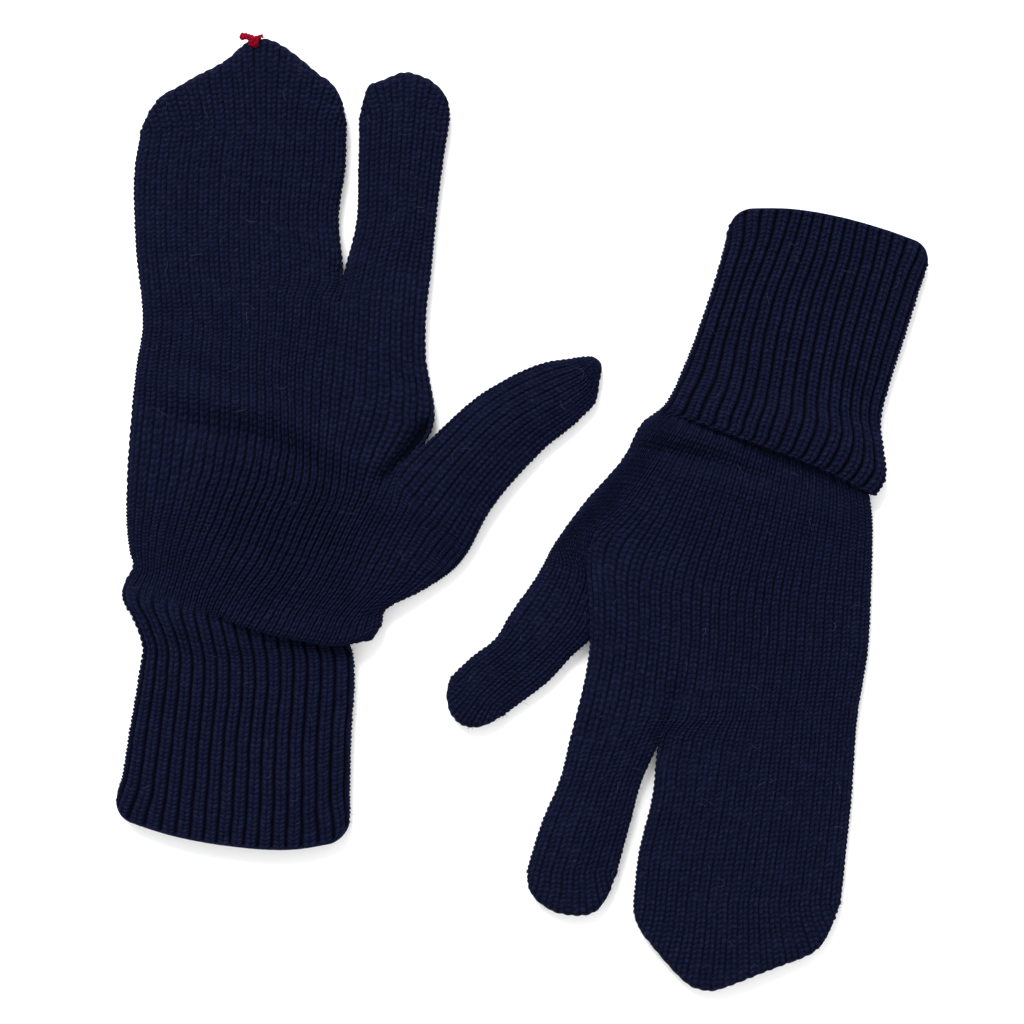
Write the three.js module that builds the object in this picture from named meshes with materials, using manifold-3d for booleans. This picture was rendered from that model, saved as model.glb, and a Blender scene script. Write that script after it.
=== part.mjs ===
// A pair of machine-knitted wool mittens with three compartments each: one stall for the thumb,
// one for the index finger and one pouch for the other three fingers, above a ribbed cuff.
// Both lie empty on a flat surface: the right mitten palm up with its fingers towards +Y, and the
// left mitten back up with its fingers towards -Y.
// Millimetres, +Z up, the origin under the centre of the pair's bounding box.
import * as THREE from "three";
import { mergeVertices } from "three/addons/utils/BufferGeometryUtils.js";
import Module from "manifold-3d";

const wasm = await Module();
wasm.setup();

// ---- Driving dimensions ----
const WALL = 2.4; // the knitted fabric, with its stitch relief
const HAND = { loft: 12, edge: 4 }; // height as it lies, and the rounding where palm turns into back
const CUFF = { loft: 11, edge: 3.6 };
const ROLL = { loft: 15, edge: 3 }; // the fabric bunched at the wrist stands higher
const EDGE_STEPS = 2; // facets of each rounded edge
const SEAM_GAP = 0.3; // clearance between neighbouring pieces
const OUTLINE_STEP = 5; // length of the outline's facets
const MERGE_WITHIN = 1e-4; // corners closer together than this are one corner

// The red yarn tied through the right mitten's tip: radii of its knot and yarn, height of the knot,
// and the curl of one end as it runs outwards, along +Y and upwards from the knot's side.
const MARKER = { knot: 1.9, yarn: 0.75, z: 7, curl: [[0, 0.6, 0], [2, 1.4, 1], [3.2, 0.2, 2.5]] };
const MARKER_FACETS = { around: 10, knotRings: 8, yarnAround: 6, yarnAlong: 5 };

const NAVY_WOOL = { color: 0x13172b, roughness: 0.95, metalness: 0 };
const NAVY_RIB = { color: 0x111429, roughness: 0.95, metalness: 0 };
const RED_YARN = { color: 0xa00420, roughness: 0.9, metalness: 0 };

// ---- The two mittens as they lie ----
// glove, cuff and roll are outlines seen from above. The blank of the cuff runs on past its mouth,
// and the blank of the glove past the wrist, and the zones cut both to length.
// A zone is the stretch of the knitting that is one piece. Neighbouring zones share their corners,
// and the side on which two of them meet is the crease on which the outer one folds.
const RIGHT = {
  name: "right",
  glove: [
    [-134, -54], [-138, -22], [-139, 2], [-138, 26], [-135, 56], [-133, 72], [-135, 95],
    [-137, 113], [-134, 134], [-124, 147.5], [-108, 157], [-95, 165], [-87, 165], [-72, 155],
    [-63.5, 142], [-62, 128], [-64, 104], [-65.6, 88], [-63.8, 84], [-62, 88], [-59, 101],
    [-57, 120], [-57.5, 139], [-54, 149], [-41, 154.5], [-30, 150], [-25.5, 140], [-28, 122],
    [-32, 89], [-34.3, 60], [-33, 40], [-31.6, 29], [-28.6, 28.6], [-16, 40], [2, 50.5],
    [18, 54.5], [27, 53], [25.5, 44], [14, 29], [0, 15], [-12, -1], [-21, -17], [-30, -24],
    [-46, -33], [-57, -54],
  ],
  cuff: [
    [-134, -36], [-134.5, -52], [-138, -76], [-141.5, -98], [-142.4, -112], [-142, -130],
    [-62, -130], [-61.5, -108], [-60.5, -80], [-58.5, -52], [-59, -36],
  ],
  roll: [
    [-134.5, -48.5], [-139, -37], [-140.4, -27], [-136.5, -19.4], [-118, -21.6], [-90, -25],
    [-60, -28.9], [-44.5, -31.4], [-46, -41], [-52, -47], [-60, -49.2], [-95, -49.2],
  ],
  neck: [[-131.5, -60], [-61, -60], [-52, -20], [-134, -10]],
  mouth: [[-150, -103], [-134, -110.5], [-104, -117.5], [-84, -119], [-68, -116.5], [-50, -108]],
  castOn: [0, 5], // from the mouth to the inner side of the cast-on band
  cuffTop: [[-38, -49.5], [-150, -49.5]],
  rollZone: [[-150, -49.5], [-38, -49.5], [-38, -31.6], [-150, -17.6]],
  fork: [[-67.2, 74], [-60.4, 74], [-60.4, 84], [-67.2, 84]],
  zones: {
    hand: [
      [-150, -17.6], [-38, -31.6], [-21, -24], [-43, 12], [-31.2, 28], [-26, 60], [-25, 84],
      [-63.8, 84], [-150, 84],
    ],
    thumb_gusset: [[-43, 12], [-21, -24], [-6, -5.2], [-31.2, 28]],
    thumb_stall: [[-31.2, 28], [-6, -5.2], [21, 14.4], [-7.8, 52.6], [-28.9, 34.4]],
    thumb_tip: [[-7.8, 52.6], [21, 14.4], [52, 38], [23, 76]],
    index_stall: [[-63.8, 84], [-25, 84], [-20, 142], [-60, 142], [-60, 128], [-61.6, 104]],
    index_tip: [[-60, 142], [-20, 142], [-20, 170], [-60, 170]],
    mitt_pouch: [
      [-150, 84], [-63.8, 84], [-61.6, 104], [-60, 128], [-60, 142], [-150, 142],
    ],
    mitt_tip: [[-150, 142], [-60, 142], [-60, 180], [-150, 180]],
  },
  marker: [-93.4, 167.8],
};

const LEFT = {
  name: "left",
  glove: [
    [128, 42], [125, 6], [123, -15], [122, -45], [118, -72], [116, -98], [113, -128],
    [110, -143], [102, -154.5], [86, -161.5], [67, -168.4], [57, -165], [46, -153], [39.5, -139],
    [40.3, -125], [44, -105], [49, -85], [48.4, -81.6], [46.6, -85], [41, -100], [36, -117],
    [32, -132], [26, -140.5], [13, -141.5], [3.5, -134.5], [2, -124], [8, -107], [16, -87],
    [21, -62], [24.6, -47], [22.6, -45.4], [8, -60], [-8, -72], [-19, -75.6], [-26, -68],
    [-24, -57], [-12, -47], [0, -31], [10, -14], [24, 4], [40, 26], [58, 52],
  ],
  cuff: [
    [51, 26], [57, 49], [60, 59], [66, 78], [72, 97], [80, 122], [150, 112], [145, 97], [139, 77],
    [133, 58], [128.4, 38], [126.5, 20],
  ],
  roll: [
    [57, 47.4], [50, 40.5], [45.5, 34.8], [62, 28.4], [80, 21.4], [100, 13.6], [122, 5.2],
    [127.4, 9], [128.4, 17], [126.6, 28.6], [110, 34.4], [80, 41.4],
  ],
  neck: [[62, 62], [53, 20], [121, -6], [125, 44]],
  mouth: [[60, 100.6], [81, 107.5], [95, 107], [111, 103.5], [130, 98.5], [141, 94], [156, 86]],
  castOn: [-1.3, -4.8],
  cuffTop: [[150, 25.2], [40, 52.2]],
  rollZone: [[40, 52.2], [40, 36.6], [132, 1], [150, 25.2]],
  fork: [[45.2, -80], [52, -80], [51, -70], [44.2, -70]],
  zones: {
    hand: [
      [40, 36.6], [14, -2], [37, -28], [23.7, -45.8], [12, -62], [8, -80], [46.6, -80],
      [132, -80], [132, 1],
    ],
    thumb_gusset: [[23.7, -45.8], [37, -28], [14, -2], [1, -21.4]],
    thumb_stall: [[23.7, -45.8], [1, -21.4], [-20.8, -35.3], [8.8, -67.9], [18.6, -51.4]],
    thumb_tip: [[8.8, -67.9], [-20.8, -35.3], [-48, -60], [-18, -98]],
    index_stall: [[8, -80], [46.6, -80], [46.6, -85], [42.6, -102], [37, -131], [-6, -126]],
    index_tip: [[-6, -126], [37, -131], [37, -150], [-6, -150]],
    mitt_pouch: [
      [46.6, -80], [132, -80], [132, -144], [37, -144], [37, -131], [42.6, -102], [46.6, -85],
    ],
    mitt_tip: [[37, -144], [132, -144], [132, -180], [37, -180]],
  },
};

// ---- Outlines ----
function roundOutline(points) {
  const corners = points.map(([x, y]) => new THREE.Vector3(x, y, 0));
  const curve = new THREE.CatmullRomCurve3(corners, true, "centripetal");
  const count = Math.round(curve.getLength() / OUTLINE_STEP);
  return counterClockwise(curve.getSpacedPoints(count).slice(0, count));
}

function counterClockwise(points) {
  const flat = points.map((p) => new THREE.Vector2(p.x ?? p[0], p.y ?? p[1]));
  return THREE.ShapeUtils.isClockWise(flat) ? flat.reverse() : flat;
}

// Moves every side of a counter-clockwise outline inwards by the same distance.
function inset(outline, distance) {
  const sideNormal = (a, b) => new THREE.Vector2(a.y - b.y, b.x - a.x).normalize();
  return outline.map((point, i) => {
    const before = outline.at(i - 1);
    const after = outline[(i + 1) % outline.length];
    const normalIn = sideNormal(before, point);
    const normalOut = sideNormal(point, after);
    const scale = distance / (1 + normalIn.dot(normalOut));
    return point.clone().addScaledVector(normalIn.add(normalOut), scale);
  });
}

const shiftLine = (line, [dx, dy]) => line.map(([x, y]) => [x + dx, y + dy]);

// ---- Solids ----
function toManifold(geometry) {
  geometry.deleteAttribute("normal");
  geometry.deleteAttribute("uv");
  const merged = mergeVertices(geometry, MERGE_WITHIN);
  return new wasm.Manifold(new wasm.Mesh({
    numProp: 3,
    vertProperties: merged.attributes.position.array,
    triVerts: new Uint32Array(merged.index.array),
  }));
}

function toGeometry(solid) {
  const mesh = solid.getMesh();
  const geometry = new THREE.BufferGeometry();
  geometry.setAttribute("position", new THREE.BufferAttribute(mesh.vertProperties, 3));
  geometry.setIndex(new THREE.BufferAttribute(mesh.triVerts, 1));
  geometry.computeVertexNormals();
  return geometry;
}

// A flat pillow: the outline at its middle height, rounded towards its two flat faces.
function pillow(outline, { loft, edge }) {
  const geometry = new THREE.ExtrudeGeometry(new THREE.Shape(outline), {
    depth: loft - 2 * edge,
    bevelThickness: edge,
    bevelSize: edge,
    bevelOffset: -edge,
    bevelSegments: EDGE_STEPS,
  });
  return toManifold(geometry.translate(0, 0, edge));
}

function prism(outline, bottom, top) {
  const geometry = new THREE.ExtrudeGeometry(new THREE.Shape(outline), {
    depth: top - bottom,
    bevelEnabled: false,
  });
  return toManifold(geometry.translate(0, 0, bottom));
}

const cutter = (polygon, grow = 0) =>
  prism(inset(counterClockwise(polygon), SEAM_GAP / 2 - grow), -ROLL.loft, 2 * ROLL.loft);

function hollow(outline, size) {
  return pillow(outline, size).subtract(prism(inset(outline, WALL), WALL, size.loft - WALL));
}

// ---- Pieces ----
const pair = new THREE.Group();

function addPiece(name, solid, finish) {
  const mesh = new THREE.Mesh(toGeometry(solid), new THREE.MeshStandardMaterial(finish));
  mesh.name = name;
  pair.add(mesh);
}

function addGlove(mitten) {
  const outline = roundOutline(mitten.glove);
  const shell = hollow(outline, HAND);
  for (const [zone, polygon] of Object.entries(mitten.zones)) {
    let piece = shell.intersect(cutter(polygon));
    if (zone === "hand") piece = piece.subtract(cutter(mitten.fork, SEAM_GAP));
    addPiece(`${mitten.name}_${zone}`, piece, NAVY_WOOL);
  }
  // The joining stitches between index stall and pouch close the fabric from face to face.
  const fork = pillow(outline, HAND).intersect(cutter(mitten.fork));
  addPiece(`${mitten.name}_finger_fork`, fork, NAVY_WOOL);
}

function addCuff(mitten) {
  const shell = hollow(roundOutline(mitten.cuff), CUFF);
  const bandTop = shiftLine(mitten.mouth, mitten.castOn);
  const ribbed = shell.intersect(cutter([...bandTop, ...mitten.cuffTop]));
  addPiece(`${mitten.name}_cuff`, ribbed, NAVY_RIB);
  const band = shell.intersect(cutter([...mitten.mouth, ...bandTop.toReversed()]));
  addPiece(`${mitten.name}_cuff_edge`, band, NAVY_RIB);
}

function addWristRoll(mitten) {
  const neck = prism(counterClockwise(mitten.neck), WALL, CUFF.loft - WALL);
  const roll = pillow(roundOutline(mitten.roll), ROLL).intersect(cutter(mitten.rollZone));
  addPiece(`${mitten.name}_wrist_roll`, roll.subtract(neck), NAVY_RIB);
}

// A knot on the tip and its two short curling ends.
function addMarker([x, y]) {
  const { around, knotRings, yarnAround, yarnAlong } = MARKER_FACETS;
  const knot = new THREE.SphereGeometry(MARKER.knot, around, knotRings).translate(x, y, MARKER.z);
  addPiece("marker_knot", toManifold(knot), RED_YARN);
  const section = new THREE.Shape().absarc(0, 0, MARKER.yarn, 0, 2 * Math.PI);
  const start = MARKER.knot + SEAM_GAP + MARKER.yarn / 2;
  for (const [end, side] of [["left", -1], ["right", 1]]) {
    const curl = MARKER.curl.map(([outwards, along, up]) =>
      new THREE.Vector3(x + side * (start + outwards), y + along, MARKER.z + up));
    const yarn = new THREE.ExtrudeGeometry(section, {
      extrudePath: new THREE.QuadraticBezierCurve3(...curl),
      steps: yarnAlong,
      curveSegments: yarnAround,
    });
    addPiece(`marker_end_${end}`, toManifold(yarn), RED_YARN);
  }
}

for (const mitten of [RIGHT, LEFT]) {
  addCuff(mitten);
  addWristRoll(mitten);
  addGlove(mitten);
}
addMarker(RIGHT.marker);

const middle = new THREE.Box3().setFromObject(pair).getCenter(new THREE.Vector3());
pair.position.set(-middle.x, -middle.y, 0);

export default pair;
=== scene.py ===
"""A pair of navy knitted wool mittens with a thumb stall, an index stall and a pouch for three fingers.

Each mitten is built the way it is knitted: flattened tubes of stitches laid course by course on a net of
control rows, with every stitch raised in the mesh. Lengths are in millimetres until a mesh is made.
"""

import math

import bpy
import numpy as np
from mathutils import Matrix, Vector


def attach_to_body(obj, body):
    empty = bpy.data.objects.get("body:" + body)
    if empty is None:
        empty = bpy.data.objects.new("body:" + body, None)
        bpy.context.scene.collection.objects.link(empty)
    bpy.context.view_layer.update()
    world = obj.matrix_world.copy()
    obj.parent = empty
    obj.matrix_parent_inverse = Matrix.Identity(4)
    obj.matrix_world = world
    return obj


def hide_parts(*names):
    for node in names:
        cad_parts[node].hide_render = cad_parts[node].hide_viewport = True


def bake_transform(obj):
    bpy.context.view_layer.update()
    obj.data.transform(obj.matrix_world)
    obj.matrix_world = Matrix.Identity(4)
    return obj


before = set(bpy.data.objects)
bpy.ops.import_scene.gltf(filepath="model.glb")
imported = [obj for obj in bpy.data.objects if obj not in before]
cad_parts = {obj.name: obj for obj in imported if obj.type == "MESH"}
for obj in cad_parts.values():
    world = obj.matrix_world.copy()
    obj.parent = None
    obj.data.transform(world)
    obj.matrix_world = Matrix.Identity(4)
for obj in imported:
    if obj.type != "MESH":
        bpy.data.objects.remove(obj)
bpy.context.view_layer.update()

MM = 0.001
ORIGIN = np.array([-0.7059, -0.6539, 0.0])  # from the layout's own origin to the frame's

# ---- The knitting ----
# A wale is a column of stitches and a course is a row of them. Columns of wales are counted from the little
# finger's side: 21 of the pouch, 9 of the index stall and 9 of the thumb. In the cuff they are ribs.
HAND = (0, 10, 21, 25.5, 30, 34.5, 39)
PALM, POUCH, INDEX, THUMB = HAND[:5], HAND[:3], HAND[2:5], HAND[4:]
CUFF = (0, 4.25, 8.5, 12.75, 17)
FORK_AT_THUMB, FORK_AT_FINGERS = 30, 21
COURSE = 1.85  # height of one stitch of the hand
RIB_COURSE = 1.6  # height of one stitch of the cuff
STITCH_DEPTH = 1.1
RIB_DEPTH = 1.9
LIP_DEPTH = 1.3  # depth of the ribs where the cuff meets the hand
RIB_FADE = 8.0  # ribs grow shallower this far before the cuff's end, and plain this far past it

# One stitch. Its height runs from 0 to 1, and widths and heights are shares of the stitch.
GAP = 0.03  # width left between two wales
LEFT_RISE, RIGHT_RISE = 0.1, 0.5  # of its two legs, from its middle to its sides
LEG_BED, GAP_BED = 0.09, 0.05  # height between its two legs, and between the wales
BEAD = 0.58  # how much lower a leg is at its ends than at its middle
BEAD_SHAPE = 2.4  # how full it stays towards its ends
RIB_WIDTH = 0.8  # how much of a rib with its groove the rib's stitches span
RIB_SIDE = 0.25  # width of the slope from the groove to the rib
RIB_BED = 0.3  # lowest height on the rib
PURL = 0.2  # height of the bumps in the groove
TONES = 89, 173  # legs and stitches after which the yarn's tones start again
TONE_DEPTH = 0.08  # how much higher the stitches of the palest yarn stand
CAST_ON_HEIGHT, SEAM_HEIGHT = 0.75, 0.6  # of the firm edge at the mouth, and of a fingertip's seam

# How uneven the knitting is: by how much, and over what length.
COURSE_WANDER = 0.06, 7
RIB_WANDER = 0.018, 6
WALE_WANDER = 0.04, 5
LOOSENESS = 0.12, 1  # of the depth, over stitches
WAVES = 7  # in one uneven pattern
WAVE_LENGTH = 1.2, 3.0

# The tubes.
WALL = 1.4  # thickness of the fabric under the stitches
THINNEST = 0.06  # half the height left of the hollow where the tube closes
EDGE = 3.6  # how far from its edge the flattened tube starts to round off
FLOOR_LIFT = 0.9  # how far the lower side is raised off the floor, as a share of the stitches' depth
END_SEAM = 1.4  # width of the seam that closes a fingertip
LUMP = 0.35  # how far each wale stands out along that seam
MOUTH_CORNER = 6.0  # radius of a cuff's corners at its mouth
CORNER_REACH = 3  # the corners fade out over this many radii
CAST_ON = 1.5  # width of the firm edge at the mouth
PINCH_LENGTH = 13.0  # a fork's two sides draw together over this length
INNER_END = 7.0  # the hollow stops this far before a closed tip
UPPER_SIDE = 4.0  # what lies higher than this is on the upper side
FOLD_REACH = 2.4  # a fold is felt this many times its width away
FOLD_STEPS = 24  # on each section of a fold's route
FOLD_END, FOLD_RISE = 0.25, 3.5  # a fold's height at its ends, and its rise from there

# The mesh.
WALE_COLUMNS = 10  # mesh columns across one stitch
RIB_COLUMNS = 16  # mesh columns across one rib and its groove
COURSE_ROWS = 5  # mesh rows along one stitch
INNER_STEP = 4.0  # spacing of the mesh rows on the inside
MOST_QUADS = 90_000  # in one piece
EVEN_STEP = 0.2  # wales between the points that the girth is measured at
EDGE_STEPS, EDGE_REACH = 14, 1.6  # more such points on the 1.6 wales beside an edge or a fork

# Fibres and hairs.
FUZZ = {"cuff": 2600, "wrist": 2600, "palm": 1800, "pouch": 2200, "index": 1100, "thumb": 1200}
FUZZ_LENGTH, FUZZ_RADIUS = 0.7, 0.025
FUZZ_LEAN, FUZZ_CURL = 0.7, 0.5  # how much a fibre leans and curls, as a share of its length
LINT = {"cuff": 12, "wrist": 12, "palm": 9, "pouch": 14, "index": 6, "thumb": 6}
LINT_LENGTH, LINT_RADIUS = (2, 6.5), 0.03
LINT_BEND = 0.5  # radians for each millimetre
LINT_LEVEL, LINT_FLOOR = 0.8, 5  # hairs lie where the fabric is at least this level and this high
LINT_POINTS = 9
ACROSS_ANY = (0.31, 0.17, 0.93)  # a direction that no strand starts along


# ---- Curves ----
def smooth(x):
    x = np.clip(x, 0, 1)
    return x * x * (3 - 2 * x)


def hermite(start, end, slope_start, slope_end, t):
    bend = 3 * (end - start) - 2 * slope_start - slope_end
    return start + t * (slope_start + t * (bend + t * (2 * (start - end) + slope_start + slope_end)))


def through(knots, values, at):
    """A smooth curve through the values at the knots, read at each number in at, along the first axis."""
    knots, values, at = np.asarray(knots, float), np.asarray(values, float), np.asarray(at, float)
    slopes = np.gradient(values, knots, axis=0)
    i = np.clip(np.searchsorted(knots, at, side="right") - 1, 0, len(knots) - 2)
    wide = at.shape + (1,) * (values.ndim - 1)
    span = (knots[i + 1] - knots[i]).reshape(wide)
    t = np.clip((at - knots[i]).reshape(wide) / span, 0, 1)
    return hermite(values[i], values[i + 1], slopes[i] * span, slopes[i + 1] * span, t)


def across(columns, rows, at, fork=None, closing=0):
    """The same on every row of rows[row, column, value], each read at its own positions at[row, k].

    Where closing[row] nears 1, the curve no longer runs on smoothly past the column fork, because the tube
    divides there and each side follows its own points.
    """
    slopes = np.gradient(rows, columns, axis=1)
    leaving, arriving = slopes.copy(), slopes.copy()
    if fork is not None:
        steps = np.diff(rows, axis=1) / np.diff(columns)[:, None]
        k = list(columns).index(fork)
        share = closing[:, None]
        arriving[:, k] += (steps[:, k - 1] - slopes[:, k]) * share
        leaving[:, k] += (steps[:, k] - slopes[:, k]) * share
    i = np.clip(np.searchsorted(columns, at, side="right") - 1, 0, len(columns) - 2)
    span = (columns[i + 1] - columns[i])[..., None]
    t = np.clip((at - columns[i])[..., None] / span, 0, 1)
    row = np.arange(len(rows))[:, None]
    return hermite(rows[row, i], rows[row, i + 1], leaving[row, i] * span, arriving[row, i + 1] * span, t)


def waves(x, y, amount, size, seed):
    """Soft irregular unevenness of about this amount either way, with bumps of about this size."""
    draw = np.random.default_rng(seed)
    total = np.zeros_like(x)
    for _ in range(WAVES):
        angle, phase = draw.uniform(0, 2 * math.pi, 2)
        pitch = size * draw.uniform(*WAVE_LENGTH)
        total += np.sin((x * math.cos(angle) + y * math.sin(angle)) * 2 * math.pi / pitch + phase)
    return amount * total * 2 / WAVES


def along_folds(x, y, folds):
    """How far the fabric is raised at each place by soft folds, each with a route, a width and a height."""
    total = np.zeros_like(x)
    for route, width, height in folds:
        route = np.array(route, float)
        places = np.linspace(0, len(route) - 1, FOLD_STEPS * (len(route) - 1))
        reach = FOLD_REACH * width
        (low_x, low_y), (high_x, high_y) = route.min(axis=0) - reach, route.max(axis=0) + reach
        near = (x > low_x) & (x < high_x) & (y > low_y) & (y < high_y)
        distance, share = np.full(near.sum(), reach), np.zeros(near.sum())
        for at, (at_x, at_y) in zip(places / places[-1], through(range(len(route)), route, places)):
            away = np.hypot(x[near] - at_x, y[near] - at_y)
            share = np.where(away < distance, at, share)
            distance = np.minimum(distance, away)
        fading = smooth(FOLD_END + FOLD_RISE * np.minimum(share, 1 - share))
        total[near] += height * fading * np.exp(-(distance / width) ** 2)
    return total


# ---- Stitches ----
def rise(wale):
    """How far a leg has risen from the stitch's middle. The yarn's twist lays the left leg flatter."""
    sideways = 2 * (wale - np.floor(wale)) - 1
    return np.where(sideways < 0, -LEFT_RISE, RIGHT_RISE) * sideways


def knit_stitch(wale, course, gap=GAP):
    """Columns of V-shaped stitches: two slanting legs of yarn each, and a gap between the columns."""
    from_middle = np.abs(2 * (wale - np.floor(wale)) - 1)
    over = np.minimum(from_middle / (1 - gap), 1)
    bed = np.where(over < 0.5, LEG_BED, GAP_BED)
    leg = bed + (1 - bed) * np.sqrt(np.clip(1 - (2 * over - 1) ** 2, 0, 1))
    along = course - rise(wale)
    along = along - np.floor(along)
    bead = 1 - np.abs(2 * along - 1) ** BEAD_SHAPE
    return leg * (1 - BEAD + BEAD * bead)


def rib_stitch(rib, course):
    """One column of V-shaped stitches standing out, and one of small bumps drawn back into a groove."""
    from_middle = np.abs(2 * (rib - np.floor(rib)) - 1)
    half = 0.499  # of a stitch's width, without touching the next one
    knit = knit_stitch(0.5 + np.clip(from_middle / RIB_WIDTH, 0, 1) * half, course)
    raised = smooth((1 - from_middle) / RIB_SIDE)
    purl = PURL * np.abs(np.sin(math.pi * course))
    return raised * (RIB_BED + (1 - RIB_BED) * knit) + (1 - raised) * purl


def stitch_tone(wale, course, seed):
    """One random number from -1 to 1 for each leg of each stitch."""
    tones = np.random.default_rng(seed).uniform(-1, 1, TONES)
    leg = np.floor(2 * wale).astype(int)
    stitch = np.floor(course - rise(wale)).astype(int)
    return tones[leg % TONES[0], stitch % TONES[1]]


def rounded(distance):
    """How full the flattened tube is at this distance from its edge."""
    return np.sqrt(np.clip(1 - (1 - np.clip(distance / EDGE, 0, 1)) ** 2, 0, 1))


class Tube:
    """A flattened tube of knitting.

    columns holds the number of the wale at each column of the net, and each row has an (x, y, low, high)
    for each: where the lower and the upper side lie. The tube runs from row start to row end, and the rows
    beyond give its direction. after is the tube that it grows out of, whose courses it goes on counting.
    pinch is the wale at which both sides meet at the end, where the tube forks. tip is the outline of a
    closed end: (share of the width, distance past the last row) pairs. mouth is the radius of the corners
    at an open end. The stitches are ribs where rib is true, and fade out of ribs over the length ribbed.
    folds are soft folds of the upper side: (route, width, height) each. slack is the (x, y, radius, amount)
    of a place where the stitches gape. seed picks the unevenness.
    """

    def __init__(self, columns, rows, start=0, end=-1, after=None, pinch=None, tip=None, mouth=0,
                 rib=False, ribbed=0, folds=(), slack=None, seed=0):
        self.columns = np.array(columns, float)
        self.rows = np.array(rows, float)
        step = np.diff(self.rows[:, :, [0, 1, 3]], axis=0)
        knots = np.concatenate([[0], np.cumsum(np.linalg.norm(step, axis=2).mean(axis=1))])
        self.knots, self.start, self.end = knots, knots[start], knots[end]
        self.pinch, self.tip, self.mouth, self.rib, self.ribbed = pinch, tip, mouth, rib, ribbed
        self.folds, self.slack, self.seed = folds, slack, seed
        self.tip_length = max(height for _, height in tip) if tip else 0
        self.course = RIB_COURSE if rib else COURSE
        self.first_course = after.last_course if after else 0
        self.last_course = self.first_course + (self.end - self.start) / self.course

    def closing(self, along):
        """How far the two sides have drawn together at the fork, from 0 to 1, on each row."""
        return smooth(1 - (self.end - along) / PINCH_LENGTH) if self.pinch is not None else 0 * along

    def relief(self, along):
        """The stitches' depth at each distance: the ribs are flatter where the cuff meets the hand."""
        if self.rib:
            return RIB_DEPTH + (LIP_DEPTH - RIB_DEPTH) * smooth(1 - (self.end - along) / RIB_FADE)
        if self.ribbed:
            ribbing = smooth(1 - (along - self.start) / self.ribbed)
            return STITCH_DEPTH + (LIP_DEPTH - STITCH_DEPTH) * ribbing
        return STITCH_DEPTH + 0 * along

    def place(self, along, wale, side, inside=False):
        """Points at distance along[row] and wale[row, k], on the upper side (1) or the lower side (-1)."""
        first, last = self.columns[0], self.columns[-1]
        v = np.minimum(along, self.end) if self.tip else along
        net = through(self.knots, self.rows, v)
        width = np.linalg.norm(np.diff(net[:, :, :2], axis=1), axis=2).sum(axis=1)[:, None]
        share = (wale - first) / (last - first)
        if inside:
            share = 0.5 + (share - 0.5) * (1 - 2 * WALL / width)
        closing = self.closing(v)
        point = across(self.columns, net, first + share * (last - first), self.pinch, closing)
        lift = self.relief(v)[:, None] * FLOOR_LIFT  # the stitches stand out below too
        xy, low, high = point[..., :2], point[..., 2] + lift, point[..., 3]
        left, right = net[:, :1, :2], net[:, -1:, :2]
        chord = right - left
        outward = np.concatenate([-chord[..., 1:], chord[..., :1]], axis=2)
        outward = outward / np.linalg.norm(chord, axis=2, keepdims=True)

        beside = np.minimum(np.linalg.norm(xy - left, axis=2), np.linalg.norm(xy - right, axis=2))
        full = rounded(beside)
        if self.pinch is not None:
            crotch = net[:, [list(self.columns).index(self.pinch)], :2]
            from_crotch = np.linalg.norm(xy - crotch, axis=2)
            full = np.minimum(full, 1 - closing[:, None] * (1 - rounded(from_crotch)))
        if self.folds and side > 0:
            folded = along_folds(xy[..., 0], xy[..., 1], self.folds) * full
            high = high + (np.minimum(folded, 0) if inside else folded)
        if self.mouth:
            across_corner = np.clip(self.mouth - beside, 0, None)
            cut = self.mouth - np.sqrt(np.clip(self.mouth ** 2 - across_corner ** 2, 0, None))
            near_mouth = smooth(1 - (v - self.start) / (CORNER_REACH * self.mouth))[:, None]
            xy = xy + outward * (cut * near_mouth)[..., None]
        travelled = np.broadcast_to(along[:, None], wale.shape)
        if self.tip:
            shares, heights = zip(*self.tip)
            lump = LUMP * (np.abs(np.sin(math.pi * (wale + 0.5))) - 0.5)
            length = through(shares, heights, share) + lump
            past = np.clip((along - self.end) / self.tip_length, 0, 1)[:, None] * length
            leaving = smooth(past / np.maximum(length, 1))[..., None]
            xy = xy + (left + chord * share[..., None] - xy) * leaving + outward * past[..., None]
            full = np.minimum(full, rounded(length - past))
            travelled = np.where(along[:, None] > self.end, self.end + past, travelled)
        half = (high - low) / 2 * full
        if inside:
            half = np.maximum(half - WALL, THINNEST)
        z = (low + high) / 2 + side * half
        return np.concatenate([xy, z[..., None]], axis=-1), travelled

    def spread(self, along, side, count):
        """The wale at each mesh column, so that stitches stay evenly wide where the edges are rounded."""
        first, last = self.columns[0], self.columns[-1]
        ends = [first, last] + ([self.pinch] if self.pinch is not None else [])
        close = (1 - np.cos(np.linspace(0, math.pi / 2, EDGE_STEPS))) * EDGE_REACH
        dense = np.concatenate([np.arange(first, last, EVEN_STEP), self.columns]
                               + [end + sign * close for end in ends for sign in (-1, 1)])
        dense = np.unique(np.round(np.clip(dense, first, last), 4))
        points, _ = self.place(along, np.broadcast_to(dense, (len(along), len(dense))), side)
        step = np.linalg.norm(np.diff(points, axis=1), axis=2)
        arc = np.concatenate([np.zeros((len(along), 1)), np.cumsum(step, axis=1)], axis=1)
        fixed = arc[:, np.searchsorted(dense, self.columns - 1e-6)]
        even = np.broadcast_to(np.linspace(first, last, count + 1), (len(along), count + 1))
        wanted = across(self.columns, fixed[..., None], even, self.pinch, self.closing(along))[..., 0]
        return np.array([np.interp(w, a, dense) for w, a in zip(wanted, arc)])

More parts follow.
